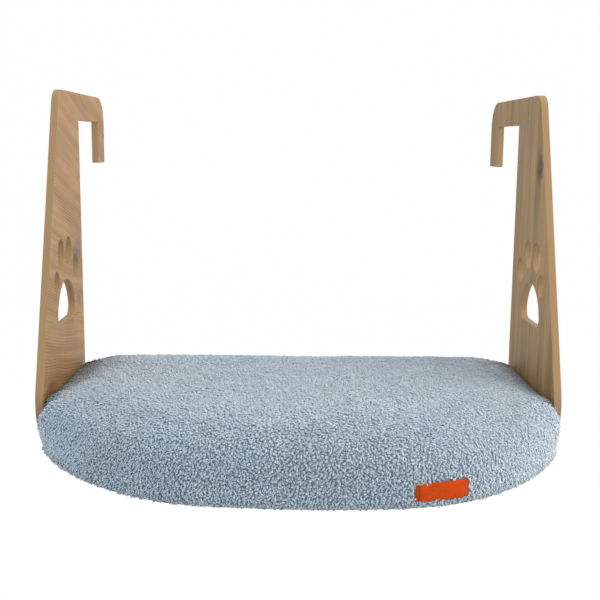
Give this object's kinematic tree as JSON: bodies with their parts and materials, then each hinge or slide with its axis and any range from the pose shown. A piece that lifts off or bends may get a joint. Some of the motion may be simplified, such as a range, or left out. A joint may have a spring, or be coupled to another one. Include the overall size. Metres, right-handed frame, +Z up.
{
  "type": "pet radiator bed",
  "caption": "Plush D-shaped pet bed between two wooden hangers with paw cut-outs and square hooks that go over a radiator.",
  "frame": {"origin": "under the middle of the whole object, level with the bed's underside", "axes": "+X across the bed to its right as seen from its rounded front, +Y towards the radiator, +Z up"},
  "size_m": [0.521, 0.502, 0.356],
  "materials": {
    "oak_decor_left": "satin",
    "oak_decor_right": "satin",
    "board": "matte",
    "foam": "matte",
    "plush": "matte",
    "underside_fabric": "matte",
    "label_weave": "satin",
    "zip_tape": "matte",
    "zip_teeth": "satin",
    "zip_metal": "satin",
    "zinc_steel": "satin"
  },
  "bodies": {
    "bed": {"left_hanger": "oak_decor_left", "right_hanger": "oak_decor_right", "base_board": "board", "foam_core": "foam", "plush_cover": "plush", "underside_panel": "underside_fabric", "woven_label": "label_weave", "zip_tape_upper": "zip_tape", "zip_tape_lower": "zip_tape", "zip_teeth_upper": "zip_teeth", "zip_teeth_lower": "zip_teeth", "zip_stops": "zip_metal", "bolt_left_front": "zinc_steel", "bolt_left_rear": "zinc_steel", "bolt_right_front": "zinc_steel", "bolt_right_rear": "zinc_steel", "barrel_nut_left_front": "zinc_steel", "barrel_nut_left_rear": "zinc_steel", "barrel_nut_right_front": "zinc_steel", "barrel_nut_right_rear": "zinc_steel"},
    "slider": {"zip_slider": "zip_metal"},
    "puller": {"zip_puller": "zip_metal"}
  },
  "joints": [
    {"name": "zip_slide", "type": "slide", "parent": "bed", "child": "slider", "axis": [1, 0, 0], "range_m": [0, 0.4214], "deforming": ["zip_teeth_upper", "zip_teeth_lower"]},
    {"name": "puller_swing", "type": "hinge", "parent": "slider", "child": "puller", "pos_m": [-0.2107, 0.0942, 0.024], "axis": [0, 0, 1], "range_deg": [0, 180]}
  ]
}
